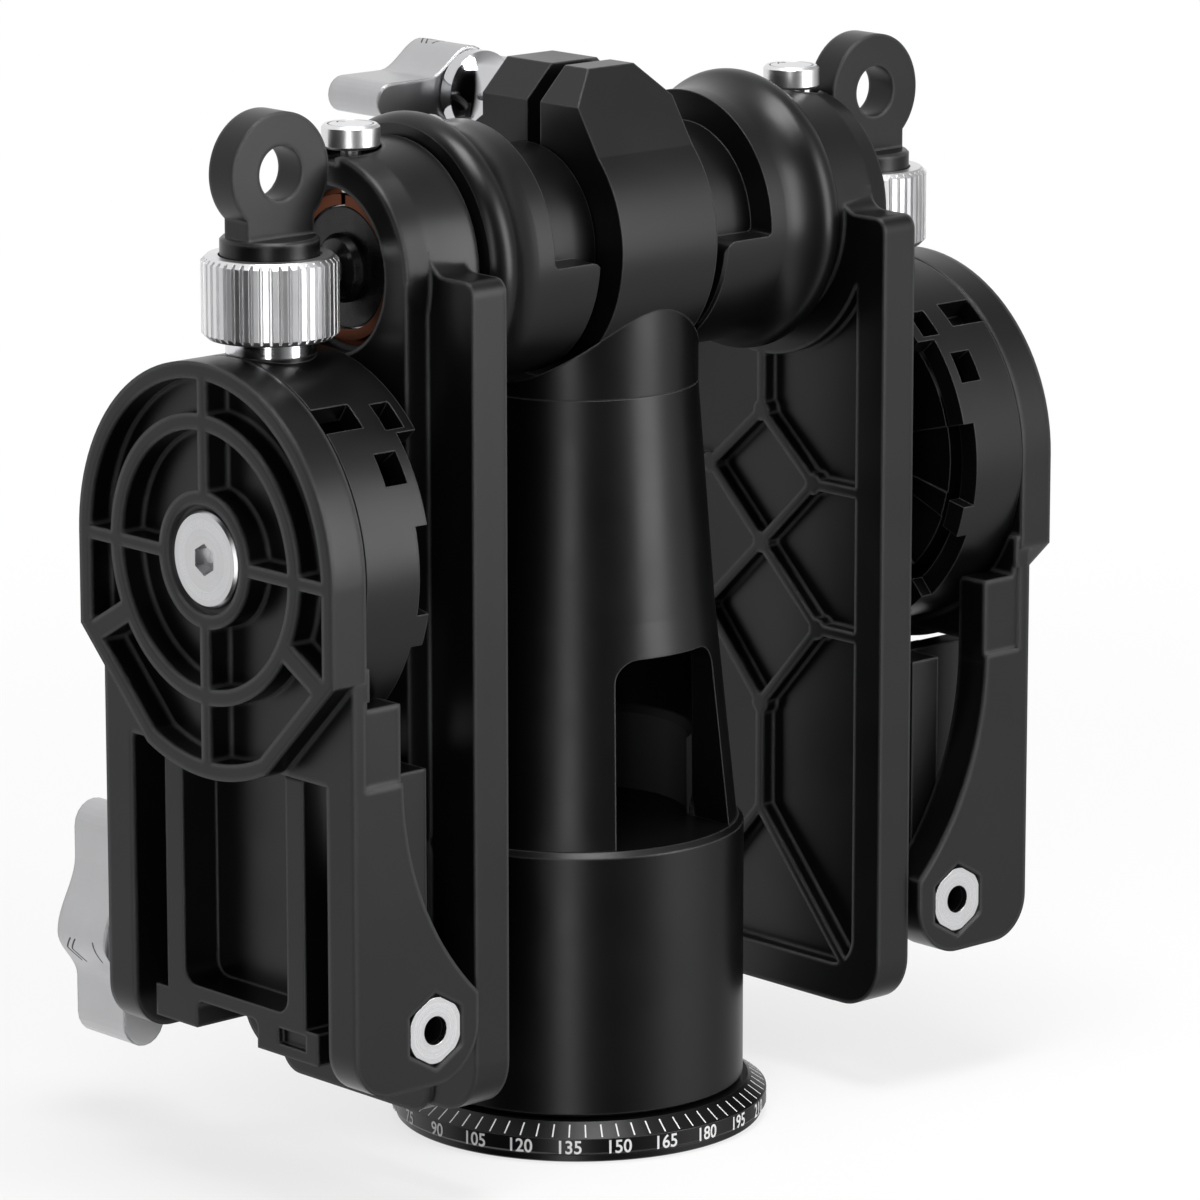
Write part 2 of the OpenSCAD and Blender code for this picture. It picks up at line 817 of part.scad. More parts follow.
module arm() {
    color([0.13, 0.13, 0.14]) difference() {
        union() {
            yz_plate(arm_x, flange_t) flange_outline();
            yz_plate(flange_x - cut, web_t + cut) {
                translate([-boss_end_r, web_low + web_corner_r]) {
                    square([2 * boss_end_r, shoulder_z - web_low - web_corner_r]);
                }
                round_rect(-boss_end_r, web_low, boss_end_r, web_low + 3 * web_corner_r, web_corner_r);
            }
            yz_plate(flange_x - foot_in, foot_in + foot_t) {
                round_rect(
                    -boss_end_r, arm_low - foot_drop, boss_end_r, web_low + web_corner_r, foot_corner_r
                );
            }
            x_turned(shoulder_z) polygon([
                [0, boss_x], [boss_r - edge_c, boss_x], [boss_r, boss_x + edge_c],
                [boss_mid_r, flange_x], [boss_end_r, web_x - edge_c],
                [boss_end_r - edge_c, web_x], [0, web_x]
            ]);
        }
        yz_plate(arm_x - cut, pocket_d + cut) arm_pockets();
        x_rod(boss_x - cut, shoulder_z, bush_r, web_x - boss_x + 2 * cut);
        x_rod(shaft_end, shoulder_z, end_recess_r, end_recess_d + cut);
        translate([cap_x, 0, shoulder_z]) cylinder(r = plunger_r + run_fit, h = boss_r);
        translate([cap_x, 0, cap_z - cap_travel - face_gap]) cylinder(r = cap_r + face_gap, h = boss_r);
        x_rod(flange_x - cut, tilt_z, axle_r + 2 * face_gap, web_t + 2 * cut);
    }
}

module bush() {
    color([0.72, 0.42, 0.2]) difference() {
        union() {
            x_rod(boss_x, shoulder_z, bush_r, shaft_end - boss_x);
            x_rod(shaft_end, shoulder_z, shaft_r + bush_lip, bush_lip_t);
        }
        x_rod(boss_x - cut, shoulder_z, shaft_r + run_fit, web_x - boss_x + 2 * cut);
        translate([cap_x, 0, shoulder_z]) cylinder(r = plunger_r + run_fit, h = bush_r + cut);
    }
}

module shaft_washer() {
    color([0.09, 0.09, 0.1]) difference() {
        x_rod(shaft_end, shoulder_z, shaft_r - edge_c / 2, washer_t);
        x_rod(shaft_end - cut, shoulder_z, end_screw_r + run_fit, washer_t + 2 * cut);
    }
}

module shaft_screw() {
    color([0.08, 0.08, 0.09]) difference() {
        union() {
            x_rod(shaft_end - end_screw_l, shoulder_z, end_screw_r, end_screw_l + 2 * washer_t);
            x_turned(shoulder_z) polygon([
                [0, button_x], [button_r, button_x], [button_r, button_x + button_h * 0.3],
                [button_r * 0.86, button_x + button_h * 0.7],
                [button_r * 0.55, button_x + button_h], [0, button_x + button_h]
            ]);
        }
        x_socket(button_x + button_h, shoulder_z, button_hex_r, button_hex_d);
    }
}

// Index plunger
module index_pin() {
    color([0.75, 0.75, 0.76]) translate([cap_x, 0, plunger_z]) {
        cylinder(r = plunger_r, h = cap_z - plunger_z);
    }
}

module index_cap() {
    color([0.82, 0.82, 0.84]) translate([cap_x, 0, cap_z]) difference() {
        beveled(cap_r, cap_h, edge_c);
        translate([0, 0, cap_h - edge_c]) difference() {
            cylinder(r = cap_r * cap_ring_out_share, h = edge_c + cut);
            translate([0, 0, -cut]) cylinder(r = cap_r * cap_ring_in_share, h = edge_c + 3 * cut);
        }
    }
}

// Tilt drum
module sector(r, from, to) {
    polygon(concat([[0, 0]], arc(0, 0, r, from, to, 6)));
}

// Windows through the drum's wall, at the front and at the back
module drum_windows() {
    for (w = window_shares) {
        x0 = drum_x + drum_w * w[0];
        translate([0, 0, tilt_z]) yz_plate(x0, drum_w * (w[1] - w[0])) {
            for (side = [0, 1]) {
                mirror([side, 0]) intersection() {
                    difference() {
                        circle(drum_r + cut);
                        circle(drum_r - drum_wall - cut);
                    }
                    sector(2 * drum_r, w[2], w[3]);
                }
            }
        }
    }
}

// What is cut from the inner edge of the drum's wall below its crown
module drum_edge() {
    depth = drum_crown_reach + rim_set;
    translate([0, 0, tilt_z]) {
        yz_plate(drum_crown_x - cut, depth + cut) difference() {
            circle(drum_r + cut);
            circle(spigot_drum_r);
            sector(2 * drum_r, drum_crown_turn, 180 - drum_crown_turn);
        }
        yz_plate(drum_crown_x - cut, depth + tab_d + cut) difference() {
            circle(drum_r + cut);
            circle(spigot_drum_r);
            sector(2 * drum_r, drum_crown_turn, 180 - drum_crown_turn);
            for (side = [0, 1]) {
                mirror([side, 0]) {
                    sector(2 * drum_r, tab_from, drum_crown_turn + 1);
                    for (turn = [tab_from - tab_turn:-tab_turn:-90]) {
                        sector(2 * drum_r, turn, turn + tab_turn * tab_share);
                    }
                }
            }
        }
    }
}

module drum() {
    color([0.12, 0.12, 0.13]) difference() {
        union() {
            difference() {
                x_rod(drum_crown_x, tilt_z, drum_r, drum_end - drum_crown_x);
                x_rod(
                    drum_crown_x - cut, tilt_z, drum_r - drum_wall, drum_end - drum_floor - drum_crown_x + cut
                );
            }
            x_rod(drum_x + drum_core_gap, tilt_z, drum_core_r, drum_w - drum_core_gap);
            x_rod(web_x, tilt_z, spigot_drum_r, drum_end - web_x);
            translate([knob_x, 0, tilt_z]) cylinder(r = knob_collar_r, h = drum_r);
        }
        drum_edge();
        drum_windows();
        x_rod(web_x - cut, tilt_z, axle_r + axle_bore_gap, drum_end - web_x + 2 * cut);
        x_rod(drum_end - tilt_bearing_t, tilt_z, tilt_bearing_r, tilt_bearing_t + cut);
        translate([knob_x, 0, tilt_z + spigot_drum_r]) cylinder(r = drag_screw_r + run_fit, h = drum_r);
    }
}

module tilt_bearing() {
    color([0.72, 0.72, 0.74]) difference() {
        x_rod(drum_end - tilt_bearing_t, tilt_z, tilt_bearing_r, tilt_bearing_t);
        x_rod(drum_end - tilt_bearing_t - cut, tilt_z, axle_r + run_fit, tilt_bearing_t + 2 * cut);
    }
}

module tilt_axle() {
    low = flange_x + face_gap;
    high = bracket_x - disc_pocket_d;
    color([0.72, 0.72, 0.74]) difference() {
        x_rod(low, tilt_z, axle_r, high - low);
        x_rod(high - bolt_bore_l, tilt_z, end_screw_r, bolt_bore_l + cut);
    }
}

// Bracket
module disc_outline(inset) {
    low_r = disc_low_r - inset;
    half = drum_r - inset;
    corner = disc_corner_drop - inset * 0.4;
    circle(half);
    intersection() {
        circle(low_r);
        polygon([
            [-half, 0], [half, 0], [half, -corner], [half - low_r, -corner - low_r],
            [low_r - half, -corner - low_r], [-half, -corner]
        ]);
    }
}

module disc_ribs() {
    difference() {
        circle(disc_ring_out);
        circle(disc_ring_in);
    }
    circle(disc_hub_r);
    translate([-spoke_w / 2, -disc_low_r]) square([spoke_w, disc_low_r + drum_r]);
    translate([-drum_r, -spoke_w / 2]) square([2 * drum_r, spoke_w]);
    for (side = [0, 1]) {
        mirror([side, 0]) rotate(-stay_turn) {
            translate([disc_ring_in, -stay_w / 2]) square([disc_low_r - disc_ring_in, stay_w]);
        }
    }
}

// Side view of a leg with its ear, in x and z
module leg_outline() {
    low = hinge_z - ear_r;
    nose_x = hinge_x - ear_r;
    difference() {
        union() {
            translate([leg_x, hinge_z]) square([leg_w, leg_top - hinge_z]);
            translate([nose_x, hinge_z]) square([leg_face_x - nose_x, leg_low_top - hinge_z]);
            translate([hinge_x, low + ear_corner_r]) square([leg_face_x - hinge_x, ear_r]);
            translate([hinge_x, low]) square([leg_face_x - hinge_x - ear_corner_r, ear_r]);
            translate([leg_face_x - ear_corner_r, low + ear_corner_r]) circle(ear_corner_r);
            translate([hinge_x, hinge_z]) circle(ear_r);
        }
        translate([leg_x - ear_curve_r, leg_low_top + leg_ramp]) circle(ear_curve_r);
    }
}

module nut_pocket(y) {
    translate([hinge_x, y, hinge_z]) rotate([90, 30, 0]) {
        cylinder(r = nut_pocket_r, h = 2 * nut_pocket_d, center = true, $fn = 6);
    }
}

module bracket() {
    cut_x = leg_x - leg_t;
    color([0.13, 0.13, 0.14]) difference() {
        union() {
            translate([0, 0, tilt_z]) yz_plate(disc_x, disc_t) disc_outline(0);
            yz_plate(leg_face_x - gate_t, gate_t) {
                translate([-bracket_half_w, gate_low]) {
                    square([2 * bracket_half_w, leg_top + gate_rise - gate_low]);
                }
            }
            for (y = [-bracket_half_w, leg_in_y]) {
                xz_plate(y, leg_t) leg_outline();
            }
        }
        translate([0, 0, tilt_z]) yz_plate(bracket_x - disc_pocket_d, disc_pocket_d + cut) difference() {
            disc_outline(disc_rim_w);
            disc_ribs();
        }
        x_rod(cut_x, tilt_z, drum_r + drum_gap, disc_x - cut_x);
        x_rod(disc_x - cut, tilt_z, axle_r, disc_t + 2 * cut);
        x_rod(bracket_x - disc_pocket_d, tilt_z, bolt_r + run_fit, disc_t);
        x_rod(bracket_x - bolt_seat_d, tilt_z, bolt_seat_r, disc_t);
        for (y = [-bracket_half_w - cut, bracket_half_w - leg_step]) {
            translate([cut_x, y, leg_low_top + leg_ramp]) {
                cube([disc_x - cut_x, leg_step + cut, leg_top - leg_low_top]);
            }
        }
        y_rod(hinge_x, -bracket_half_w - cut, hinge_z, hinge_pin_r, 2 * bracket_half_w + 2 * cut);
        nut_pocket(-bracket_half_w);
        nut_pocket(bracket_half_w);
    }
}

module tilt_bolt() {
    head_x = bracket_x - disc_pocket_d;
    head_h = disc_pocket_d - bolt_low;
    color([0.8, 0.8, 0.81]) difference() {
        union() {
            x_turned(tilt_z) polygon([
                [0, head_x], [bolt_r, head_x], [bolt_r, head_x + head_h - edge_c],
                [bolt_r - edge_c, head_x + head_h], [0, head_x + head_h]
            ]);
            x_rod(head_x - bolt_bore_l + face_gap, tilt_z, end_screw_r, bolt_bore_l);
        }
        x_socket(head_x + head_h, tilt_z, bolt_hex_r, bolt_hex_d);
    }
}

// Drag knob and thumb ring
module knob_collar() {
    color([0.8, 0.8, 0.82]) translate([knob_x, 0, tilt_z + drum_r]) difference() {
        cylinder(r = knob_collar_r, h = knob_collar_h);
        translate([0, 0, -cut]) cylinder(r = drag_screw_r + run_fit, h = knob_collar_h + 2 * cut);
    }
}

module knurl_outline() {
    pitch = 360 / knurl_count;
    polygon([for (i = [0:knurl_count - 1]) for (k = knurl_shares)
        let (turn = pitch * (i + k[0]), r = knob_r - knurl_d * (1 - k[1]))
        [r * cos(turn), r * sin(turn)]]);
}

module drag_knob() {
    color([0.8, 0.8, 0.82]) translate([knob_x, 0, knob_z]) difference() {
        intersection() {
            linear_extrude(knob_h) knurl_outline();
            beveled(knob_r, knob_h, knob_c);
        }
        translate([0, 0, -cut]) cylinder(r = drag_screw_r, h = knob_h + 2 * cut);
        translate([0, 0, knob_h - ring_seat_d]) cylinder(r = ring_foot_r + face_gap, h = ring_seat_d + cut);
    }
}

module drag_screw() {
    low = tilt_z + spigot_drum_r + face_gap;
    color([0.7, 0.7, 0.72]) translate([knob_x, 0, low]) {
        cylinder(r = drag_screw_r, h = knob_z + knob_h - ring_seat_d - low);
    }
}

module thumb_ring() {
    foot_z = knob_z + knob_h - ring_seat_d;
    foot_h = ring_seat_d + ring_foot_h;
    color([0.1, 0.1, 0.11]) difference() {
        union() {
            translate([knob_x, 0, foot_z]) beveled(ring_foot_r, foot_h, edge_c);
            xz_plate(-ring_t / 2, ring_t) {
                translate([knob_x, ring_z]) circle(ring_r);
                translate([knob_x - ring_neck_half_w, foot_z + ring_foot_h]) {
                    square([2 * ring_neck_half_w, ring_z - foot_z - ring_foot_h]);
                }
            }
        }
        y_rod(knob_x, -ring_t, ring_z, ring_hole_r, 2 * ring_t);
    }
}

// Folding platform
module platform() {
    width = platform_face_x - platform_in_x;
    bar_w = platform_face_x - hinge_x;
    bar_h = hinge_z - platform_low;
    recess_z = platform_low + rib_w;
    color([0.12, 0.12, 0.13]) difference() {
        union() {
            translate([platform_in_x, -spine_half_w, hinge_z - cut]) {
                cube([width, 2 * spine_half_w, platform_top - hinge_z + cut]);
            }
            translate([platform_in_x, -platform_half_w, hinge_z]) {
                cube([side_plate_t, 2 * platform_half_w, platform_top - hinge_z]);
            }
            translate([hinge_x, -bar_half_w, platform_low]) cube([bar_w, 2 * bar_half_w, bar_h]);
            y_rod(hinge_x, -platform_half_w, hinge_z, platform_tail, 2 * platform_half_w);
        }
        yz_plate(platform_face_x - trough_d, trough_d + cut) {
            round_rect(
                -trough_half_w, hinge_z + trough_rise,
                trough_half_w, platform_top + 2 * trough_corner_r, trough_corner_r
            );
        }
        x_rod(platform_in_x - cut, tilt_z, disc_low_r + drum_gap, width + 2 * cut);
        yz_plate(hinge_x - ear_r, bar_w + ear_r + cut) {
            round_rect(-notch_front, hinge_z - 2 * ear_r, notch_back, bar_top, notch_corner_r);
        }
        y_rod(hinge_x, -platform_half_w - cut, hinge_z, hinge_pin_r + run_fit, 2 * platform_half_w + 2 * cut);
        x_rod(platform_in_x - cut, camera_bore_z, camera_bore_r, camera_bore_d + cut);
        translate([platform_face_x - knuckle_recess_d, leg_t - platform_half_w, recess_z]) {
            cube([knuckle_recess_d + cut, leg_t, platform_tail / 2]);
        }
    }
}

module hinge_pin() {
    half = bracket_half_w - nut_pocket_d;
    color([0.74, 0.74, 0.76]) difference() {
        y_rod(hinge_x, -half, hinge_z, hinge_pin_r, 2 * half);
        y_rod(hinge_x, -half - cut, hinge_z, stud_r, stud_d + cut);
        y_rod(hinge_x, half - stud_d, hinge_z, lever_stud_r + run_fit, stud_d + cut);
    }
}

module hinge_nuts() {
    y = bracket_half_w - nut_pocket_d;
    bores = [lever_stud_r + run_fit, stud_r];
    color([0.8, 0.8, 0.81]) for (side = [0, 1]) {
        mirror([0, side, 0]) difference() {
            intersection() {
                y_rod(hinge_x, y, hinge_z, hinge_nut_r, hinge_nut_t);
                translate([hinge_x, y, hinge_z]) rotate([-90, 30, 0]) {
                    cylinder(r = hinge_nut_hex_r, h = hinge_nut_t, $fn = 6);
                }
            }
            y_rod(hinge_x, y - cut, hinge_z, bores[side], hinge_nut_t + 2 * cut);
        }
    }
}

module hinge_collar() {
    translate([hinge_x, bracket_half_w, hinge_z]) lever_collar(hinge_collar_l, lever_stud_r);
}

module hinge_lever() {
    y = bracket_half_w + hinge_collar_l + face_gap;
    translate([hinge_x, y, hinge_z]) rotate([0, 90, 0]) {
        wing_lever(lever_stud_r, lever_hub_r, hinge_wings);
    }
}

module lever_stud() {
    low = bracket_half_w - nut_pocket_d - stud_d + face_gap;
    high = bracket_half_w + hinge_collar_l + lever_t / 2;
    color([0.7, 0.7, 0.72]) y_rod(hinge_x, low, hinge_z, lever_stud_r, high - low);
}

base_plate();
degree_ring();
thread_insert();
base_screws();
pan_spindle();
pan_bearing();
spindle_nut();
housing();
column();
column_screws();
column_bolt();
tee_head();
tee_collar();
tee_lever();
tee_screw();
cross_shaft();
mirror([1, 0, 0]) hub();  // left_hub
mirror([1, 0, 0]) arm();  // left_arm
mirror([1, 0, 0]) bush();  // left_bush
mirror([1, 0, 0]) shaft_washer();  // left_shaft_washer
mirror([1, 0, 0]) shaft_screw();  // left_shaft_screw
mirror([1, 0, 0]) index_pin();  // left_index_pin
mirror([1, 0, 0]) index_cap();  // left_index_cap
mirror([1, 0, 0]) drum();  // left_drum
mirror([1, 0, 0]) tilt_bearing();  // left_tilt_bearing
mirror([1, 0, 0]) tilt_axle();  // left_tilt_axle
mirror([1, 0, 0]) bracket();  // left_bracket
mirror([1, 0, 0]) tilt_bolt();  // left_tilt_bolt
mirror([1, 0, 0]) knob_collar();  // left_knob_collar
mirror([1, 0, 0]) drag_knob();  // left_drag_knob
mirror([1, 0, 0]) drag_screw();  // left_drag_screw
mirror([1, 0, 0]) thumb_ring();  // left_thumb_ring
mirror([1, 0, 0]) platform();  // left_platform
mirror([1, 0, 0]) hinge_pin();  // left_hinge_pin
mirror([1, 0, 0]) hinge_nuts();  // left_hinge_nuts
mirror([1, 0, 0]) hinge_collar();  // left_lever_collar
mirror([1, 0, 0]) hinge_lever();  // left_hinge_lever
mirror([1, 0, 0]) lever_stud();  // left_lever_stud
hub();  // right_hub
arm();  // right_arm
bush();  // right_bush
shaft_washer();  // right_shaft_washer
shaft_screw();  // right_shaft_screw
index_pin();  // right_index_pin
index_cap();  // right_index_cap
drum();  // right_drum
tilt_bearing();  // right_tilt_bearing
tilt_axle();  // right_tilt_axle
bracket();  // right_bracket
tilt_bolt();  // right_tilt_bolt
knob_collar();  // right_knob_collar
drag_knob();  // right_drag_knob
drag_screw();  // right_drag_screw
thumb_ring();  // right_thumb_ring
platform();  // right_platform
hinge_pin();  // right_hinge_pin
hinge_nuts();  // right_hinge_nuts
hinge_collar();  // right_lever_collar
hinge_lever();  // right_hinge_lever
lever_stud();  // right_lever_stud
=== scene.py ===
"""Gimbal head, stowed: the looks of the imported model, in metres."""

import math

import bmesh
import bpy
from mathutils import Matrix, Vector
from mathutils.bvhtree import BVHTree


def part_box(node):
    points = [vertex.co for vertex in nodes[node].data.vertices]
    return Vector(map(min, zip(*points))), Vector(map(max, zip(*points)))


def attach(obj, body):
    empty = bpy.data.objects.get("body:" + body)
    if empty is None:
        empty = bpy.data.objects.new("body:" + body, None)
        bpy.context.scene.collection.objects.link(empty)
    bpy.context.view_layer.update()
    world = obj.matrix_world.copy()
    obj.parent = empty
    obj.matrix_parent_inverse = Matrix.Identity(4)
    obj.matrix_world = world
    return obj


MM = 0.001
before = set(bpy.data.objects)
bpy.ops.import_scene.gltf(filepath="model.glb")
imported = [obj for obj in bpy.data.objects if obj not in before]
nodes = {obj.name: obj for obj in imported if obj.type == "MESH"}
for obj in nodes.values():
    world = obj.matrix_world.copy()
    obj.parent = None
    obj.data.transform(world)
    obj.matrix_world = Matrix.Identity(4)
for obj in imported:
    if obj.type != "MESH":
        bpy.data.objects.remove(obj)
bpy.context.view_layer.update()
scene = bpy.context.scene
X, Y, Z = Vector((1, 0, 0)), Vector((0, 1, 0)), Vector((0, 0, 1))


# Camera: azimuth, elevation and roll of the lens, its distance and its focal length
AZIMUTH, ELEVATION, ROLL = math.radians(-42.309), math.radians(12.703), math.radians(-0.03)
DISTANCE = 1.231691
FOCAL_PX, IMAGE_PX, SENSOR_MM = 6709.182, 1200, 36
# The point it looks at, in mm to the right of the axis and above the ground
AIM_RIGHT, AIM_UP = 4.038, 97.084


def from_front(azimuth, elevation):
    """The direction at so many radians to the right of the front, and up."""
    level = math.cos(elevation)
    return Vector((math.sin(azimuth) * level, -math.cos(azimuth) * level, math.sin(elevation)))


back = from_front(AZIMUTH, ELEVATION)
right = Vector((math.cos(AZIMUTH), math.sin(AZIMUTH), 0))
up = back.cross(right)
turned_right = right * math.cos(ROLL) + up * math.sin(ROLL)
turned_up = up * math.cos(ROLL) - right * math.sin(ROLL)
target = turned_right * AIM_RIGHT * MM + Z * AIM_UP * MM

camera = bpy.data.objects.new("camera", bpy.data.cameras.new("camera"))
scene.collection.objects.link(camera)
camera.matrix_world = Matrix.Translation(target + back * DISTANCE) @ Matrix((
    (turned_right.x, turned_up.x, back.x, 0),
    (turned_right.y, turned_up.y, back.y, 0),
    (turned_right.z, turned_up.z, back.z, 0),
    (0, 0, 0, 1),
))
camera.data.sensor_width = SENSOR_MM
camera.data.lens = SENSOR_MM * (FOCAL_PX / IMAGE_PX)
camera.data.clip_start, camera.data.clip_end = 0.05, 50
scene.camera = camera
scene.view_settings.view_transform = "Standard"


# Node trees
class Tree:
    """A node tree with the few moves that materials, floor and world share."""

    def __init__(self, tree):
        self.tree = tree

    def node(self, kind, **values):
        made = self.tree.nodes.new(kind)
        for key, value in values.items():
            setattr(made, key, value)
        return made

    def link(self, a, b):
        self.tree.links.new(a, b)

    def maths(self, kind, a, b):
        """A Math node's result for two sockets or numbers."""
        made = self.node("ShaderNodeMath", operation=kind)
        for socket, value in zip(made.inputs, (a, b)):
            if isinstance(value, (int, float)):
                socket.default_value = value
            else:
                self.link(value, socket)
        return made.outputs[0]

    def vector_maths(self, kind, a, b=None):
        """A Vector Math node's result for a socket, and a second one or a fixed vector."""
        made = self.node("ShaderNodeVectorMath", operation=kind)
        self.link(a, made.inputs[0])
        if isinstance(b, bpy.types.NodeSocket):
            self.link(b, made.inputs[1])
        elif b is not None:
            made.inputs[1].default_value = b
        return made.outputs["Value" if kind in ("DOT_PRODUCT", "LENGTH") else "Vector"]

    def spread(self, value, start, end, low, high, **values):
        """Takes start to end of a value to low to high."""
        made = self.node("ShaderNodeMapRange", **values)
        limits = (("From Min", start), ("From Max", end), ("To Min", low), ("To Max", high))
        for name, limit in limits:
            made.inputs[name].default_value = limit
        self.link(value, made.inputs["Value"])
        return made.outputs["Result"]

    def mix_shaders(self, share, a, b):
        made = self.node("ShaderNodeMixShader")
        for socket, value in zip(made.inputs, (share, a, b)):
            self.link(value, socket)
        return made.outputs[0]

    def ray_share(self, *kinds):
        """1 for rays of these kinds."""
        path = self.node("ShaderNodeLightPath")
        total = path.outputs[kinds[0]]
        for kind in kinds[1:]:
            total = self.maths("MAXIMUM", total, path.outputs[kind])
        return total


# Rounded edges: rays per point, and the cosine of the rounded normal's lean where the painted
# edge highlight is full and where it ends
EDGE_SAMPLES = 4
HIGHLIGHT_FULL, HIGHLIGHT_NONE = 0.86, 0.985
# The part of a noise's range where nearly all of it lies
NOISE_LOW, NOISE_HIGH = 0.35, 0.65


class Shader(Tree):
    """A material of one base colour, with relief, rounded edges and a painted edge highlight laid
    over it.
    """

    def __init__(self, name, base, metallic, roughness, specular=0.5):
        self.mat = bpy.data.materials.new(name)
        self.mat.use_nodes = True
        super().__init__(self.mat.node_tree)
        self.bsdf = self.tree.nodes["Principled BSDF"]
        self.base = base
        self.set("Base Color", (*base, 1))
        self.set("Metallic", metallic)
        self.set("Roughness", roughness)
        self.set("Specular IOR Level", specular)
        self.bumped = None
        self.worn = None
        self.coords = self.node("ShaderNodeTexCoord").outputs["Object"]

    def set(self, socket, value):
        self.bsdf.inputs[socket].default_value = value

    def times(self, share):
        """The base colour at so many times its brightness."""
        return (*(min(1, c * share) for c in self.base), 1)

    def colour(self, share, a, b):
        """Makes the base colour a mix of a, a colour or the one so far, and b."""
        made = self.node("ShaderNodeMix", data_type="RGBA")
        self.link(share, made.inputs["Factor"])
        if a is None:
            self.link(self.bsdf.inputs["Base Color"].links[0].from_socket, made.inputs["A"])
        else:
            made.inputs["A"].default_value = a
        made.inputs["B"].default_value = b
        self.link(made.outputs["Result"], self.bsdf.inputs["Base Color"])

    def soften(self, radius):
        """Rounds the edges by so many metres, and keeps where they are for the painted edge
        highlight.
        """
        self.bumped = self.node("ShaderNodeBevel", samples=EDGE_SAMPLES).outputs["Normal"]
        self.bumped.node.inputs["Radius"].default_value = radius
        self.link(self.bumped, self.bsdf.inputs["Normal"])
        flat = self.node("ShaderNodeNewGeometry").outputs["Normal"]
        facing = self.vector_maths("DOT_PRODUCT", self.bumped, flat)
        self.worn = self.spread(facing, HIGHLIGHT_FULL, HIGHLIGHT_NONE, 1, 0)

    def wear(self, bright):
        """Paints a highlight on the edges: the base colour is so many times brighter there."""
        self.colour(self.worn, None, self.times(bright))

    def noise(self, scale, detail=2.0, coords=None):
        """Noise with so many spots to the metre."""
        made = self.node("ShaderNodeTexNoise")
        made.inputs["Scale"].default_value = scale
        made.inputs["Detail"].default_value = detail
        self.link(coords or self.coords, made.inputs["Vector"])
        return made.outputs["Fac"]

    def tint(self, fac, low, high):
        """Varies the base colour from low to high times its value."""
        self.colour(fac, self.times(low), self.times(high))

    def rough(self, fac, low, high):
        rough = self.spread(fac, NOISE_LOW, NOISE_HIGH, low, high)
        self.link(rough, self.bsdf.inputs["Roughness"])

    def bump(self, height, depth, strength):
        """Adds relief of so many metres."""
        made = self.node("ShaderNodeBump")
        made.inputs["Strength"].default_value = strength
        made.inputs["Distance"].default_value = depth
        self.link(height, made.inputs["Height"])
        if self.bumped:
            self.link(self.bumped, made.inputs["Normal"])
        self.bumped = made.outputs["Normal"]
        self.link(self.bumped, self.bsdf.inputs["Normal"])

    def off_axis(self, place, axis):
        """How far a place is from an axis through the origin."""
        mask = tuple(0 if i == axis else 1 for i in range(3))
        return self.vector_maths("LENGTH", self.vector_maths("MULTIPLY", place, mask))

    def turning(self, axis, centre):
        """Fine grooves of a lathe tool round an axis through centre: 0 to 1."""
        moved = self.vector_maths("SUBTRACT", self.coords, centre)
        along = self.node("ShaderNodeSeparateXYZ")
        self.link(moved, along.inputs[0])
        both = self.node("ShaderNodeCombineXYZ")
        self.link(self.off_axis(moved, axis), both.inputs["X"])
        self.link(along.outputs[axis], both.inputs["Y"])
        return self.noise(1 / GROOVE_PITCH, 3.0, coords=both.outputs[0])


# Finishes: lengths in metres unless they say mm, noises in spots to the metre
GROOVE_PITCH = 0.00035
BLACK = (0.0024, 0.0024, 0.0025)
BORE_PAINTED_LIGHT = (0.045, 0.045, 0.047)
MARK_GREY = (0.045, 0.045, 0.047)
MARK_WHITE = (0.8, 0.8, 0.8)
# How much brighter the black is painted along its edges, as a painted highlight
PAINTED_EDGE_HIGHLIGHT = 34.0
# The column is hollow: inside this radius is its turned bore, which the window shows.
# The bore is painted lighter grey, as painted light falling into it through the window.
BORE_R = 0.0212
# Radius of the edges of the black nodes, in mm
BLACK_EDGES = {
    "housing": 0.5, "column": 0.35, "tee_head": 0.5, "hub": 0.35, "arm": 1.2, "drum": 0.35,
    "bracket": 1.5, "platform": 0.8, "thumb_ring": 0.9, "degree_ring": 0.15, "base_plate": 0.15,
}


def black_anodised(name, radius):
    """A fine blasted black with edges of so many mm."""
    made = Shader(name, BLACK, 0.0, 0.31, specular=0.32)
    made.soften(radius * MM)
    made.rough(made.noise(70, 3.0), 0.29, 0.34)
    made.tint(made.noise(2600), 0.7, 1.4)
    # Painted highlight: the base colour is made brighter along the rounded edges
    made.wear(PAINTED_EDGE_HIGHLIGHT)
    made.bump(made.noise(5200, 1.0), 0.000008, 0.5)
    return made


def column_finish():
    """Black outside, with painted light on the turned bore behind the window: lighter grey there.
    """
    made = black_anodised("black_anodised_column_painted_bore_light", BLACK_EDGES["column"])
    # Painted light: the bore's base colour is a lighter grey than the black outside
    inside = made.maths("LESS_THAN", made.off_axis(made.coords, 2), BORE_R)
    made.colour(inside, None, (*BORE_PAINTED_LIGHT, 1))
    return made.mat


def oxide(name):
    """The smoother black of the shaft's screws and washers."""
    made = Shader(name, BLACK, 0.0, 0.28, specular=0.3)
    made.soften(0.4 * MM)
    made.rough(made.noise(400, 3.0), 0.24, 0.34)
    made.tint(made.noise(1200), 0.7, 1.4)
    return made.mat


def turned(name, centre, axis, rough, base, relief=0.000006, radius=0.15):
    """Metal turned round an axis through centre, with edges of radius mm."""
    made = Shader(name, base, 1.0, sum(rough) / 2)
    made.soften(radius * MM)
    fine = made.turning(axis, centre)
    made.rough(fine, *rough)
    made.tint(made.noise(140, 3.0), 0.94, 1.05)
    made.bump(fine, relief, 0.6)
    made.bump(made.noise(3200), 0.000004, 0.4)
    return made.mat


